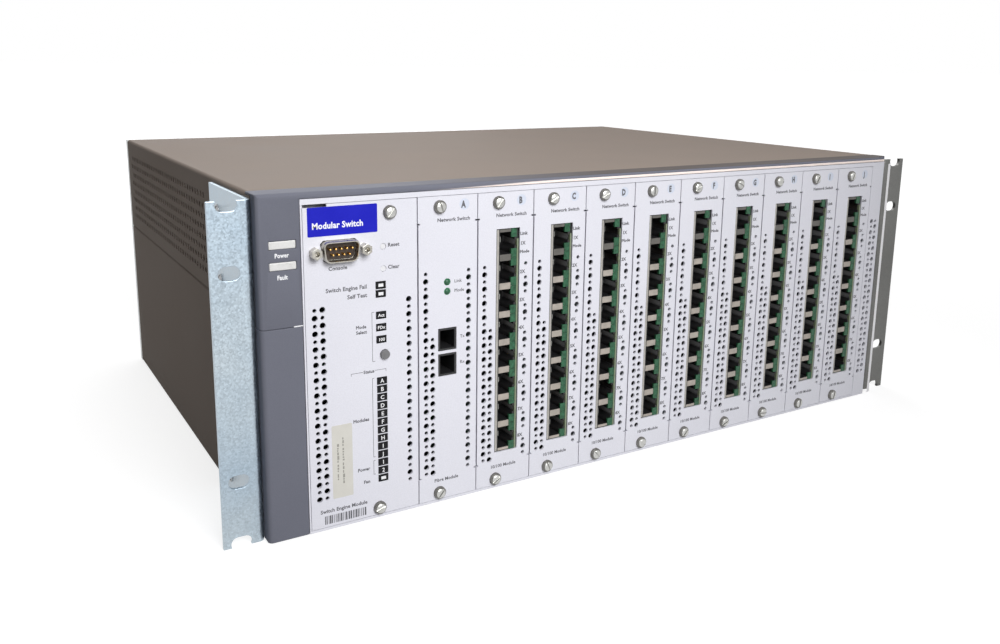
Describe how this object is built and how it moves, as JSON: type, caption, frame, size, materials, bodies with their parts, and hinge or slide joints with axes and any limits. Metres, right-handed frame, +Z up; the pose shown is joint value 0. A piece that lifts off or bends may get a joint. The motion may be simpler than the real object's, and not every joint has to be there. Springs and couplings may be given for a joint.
{
  "type": "modular chassis switch",
  "caption": "Rack-mount modular network switch: steel card cage with an engine card, interface modules that slide out, slide-in supplies and exhaust fans.",
  "frame": {"origin": "on the standing surface, below the middle of the whole object", "axes": "+X to the right seen from the front, the front faces -Y, +Z up"},
  "size_m": [0.4826, 0.3482, 0.171],
  "materials": {
    "case_paint": "satin",
    "plated_steel": "zinc plated",
    "frame_paint": "satin",
    "panel_paint": "satin",
    "bezel_plastic": "fine grain",
    "window_plastic": "satin",
    "screw_steel": "bright",
    "guide_plastic": "matt",
    "card_laminate": "coated",
    "socket_plastic": "matt",
    "legend_plastic": "gloss",
    "button_plastic": "matt",
    "fan_plastic": "matt",
    "supply_steel": "zinc plated",
    "connector_steel": "nickel plated"
  },
  "bodies": {
    "chassis": {"chassis_base": "case_paint", "top_cover": "case_paint", "rear_panel": "plated_steel", "front_frame": "frame_paint", "bezel_upper": "bezel_plastic", "bezel_lower": "bezel_plastic", "bezel_windows": "window_plastic", "rack_ear_left": "plated_steel", "rack_ear_right": "plated_steel", "chassis_screws": "screw_steel", "card_guides": "guide_plastic", "backplane": "card_laminate", "fan_frame_left": "fan_plastic", "fan_frame_right": "fan_plastic"},
    "fan_left": {"fan_rotor_left": "fan_plastic"},
    "fan_right": {"fan_rotor_right": "fan_plastic"},
    "supply_left": {"supply_left_case": "supply_steel", "supply_left_inlet": "socket_plastic"},
    "supply_right": {"supply_right_case": "supply_steel", "supply_right_inlet": "socket_plastic"},
    "engine": {"engine_faceplate": "panel_paint", "engine_card": "card_laminate", "engine_screws": "screw_steel", "engine_indicators": "legend_plastic", "console_connector": "connector_steel", "console_jackscrews": "screw_steel"},
    "mode_button": {"mode_button": "button_plastic"},
    "reset_button": {"reset_button": "button_plastic"},
    "clear_button": {"clear_button": "button_plastic"},
    "module_a": {"module_a_faceplate": "panel_paint", "module_a_card": "card_laminate", "module_a_sockets": "socket_plastic"},
    "module_b": {"module_b_faceplate": "panel_paint", "module_b_card": "card_laminate", "module_b_ports": "socket_plastic"},
    "module_c": {"module_c_faceplate": "panel_paint", "module_c_card": "card_laminate", "module_c_ports": "socket_plastic"},
    "module_d": {"module_d_faceplate": "panel_paint", "module_d_card": "card_laminate", "module_d_ports": "socket_plastic"},
    "module_e": {"module_e_faceplate": "panel_paint", "module_e_card": "card_laminate", "module_e_ports": "socket_plastic"},
    "module_f": {"module_f_faceplate": "panel_paint", "module_f_card": "card_laminate", "module_f_ports": "socket_plastic"},
    "module_g": {"module_g_faceplate": "panel_paint", "module_g_card": "card_laminate", "module_g_ports": "socket_plastic"},
    "module_h": {"module_h_faceplate": "panel_paint", "module_h_card": "card_laminate", "module_h_ports": "socket_plastic"},
    "module_i": {"module_i_faceplate": "panel_paint", "module_i_card": "card_laminate", "module_i_ports": "socket_plastic"},
    "module_j": {"module_j_faceplate": "panel_paint", "module_j_card": "card_laminate", "module_j_ports": "socket_plastic"}
  },
  "joints": [
    {"name": "module_a_slide", "type": "slide", "parent": "chassis", "child": "module_a", "axis": [0, -1, 0], "range_m": [0, 0.195]},
    {"name": "module_b_slide", "type": "slide", "parent": "chassis", "child": "module_b", "axis": [0, -1, 0], "range_m": [0, 0.195]},
    {"name": "module_c_slide", "type": "slide", "parent": "chassis", "child": "module_c", "axis": [0, -1, 0], "range_m": [0, 0.195]},
    {"name": "module_d_slide", "type": "slide", "parent": "chassis", "child": "module_d", "axis": [0, -1, 0], "range_m": [0, 0.195]},
    {"name": "module_e_slide", "type": "slide", "parent": "chassis", "child": "module_e", "axis": [0, -1, 0], "range_m": [0, 0.195]},
    {"name": "module_f_slide", "type": "slide", "parent": "chassis", "child": "module_f", "axis": [0, -1, 0], "range_m": [0, 0.195]},
    {"name": "module_g_slide", "type": "slide", "parent": "chassis", "child": "module_g", "axis": [0, -1, 0], "range_m": [0, 0.195]},
    {"name": "module_h_slide", "type": "slide", "parent": "chassis", "child": "module_h", "axis": [0, -1, 0], "range_m": [0, 0.195]},
    {"name": "module_i_slide", "type": "slide", "parent": "chassis", "child": "module_i", "axis": [0, -1, 0], "range_m": [0, 0.195]},
    {"name": "module_j_slide", "type": "slide", "parent": "chassis", "child": "module_j", "axis": [0, -1, 0], "range_m": [0, 0.195]},
    {"name": "engine_slide", "type": "slide", "parent": "chassis", "child": "engine", "axis": [0, -1, 0], "range_m": [0, 0.195]},
    {"name": "supply_left_slide", "type": "slide", "parent": "chassis", "child": "supply_left", "axis": [0, 1, 0], "range_m": [0, 0.095]},
    {"name": "fan_left_spin", "type": "hinge", "parent": "chassis", "child": "fan_left", "pos_m": [-0.11, 0.1475, 0.126], "axis": [0, 1, 0], "continuous": true},
    {"name": "supply_right_slide", "type": "slide", "parent": "chassis", "child": "supply_right", "axis": [0, 1, 0], "range_m": [0, 0.095]},
    {"name": "fan_right_spin", "type": "hinge", "parent": "chassis", "child": "fan_right", "pos_m": [0.11, 0.1475, 0.126], "axis": [0, 1, 0], "continuous": true},
    {"name": "mode_press", "type": "slide", "parent": "engine", "child": "mode_button", "axis": [0, 1, 0], "range_m": [0, 0.0012], "stiffness_N_per_m": 800},
    {"name": "reset_press", "type": "slide", "parent": "engine", "child": "reset_button", "axis": [0, 1, 0], "range_m": [0, 0.0012], "stiffness_N_per_m": 800},
    {"name": "clear_press", "type": "slide", "parent": "engine", "child": "clear_button", "axis": [0, 1, 0], "range_m": [0, 0.0012], "stiffness_N_per_m": 800}
  ]
}
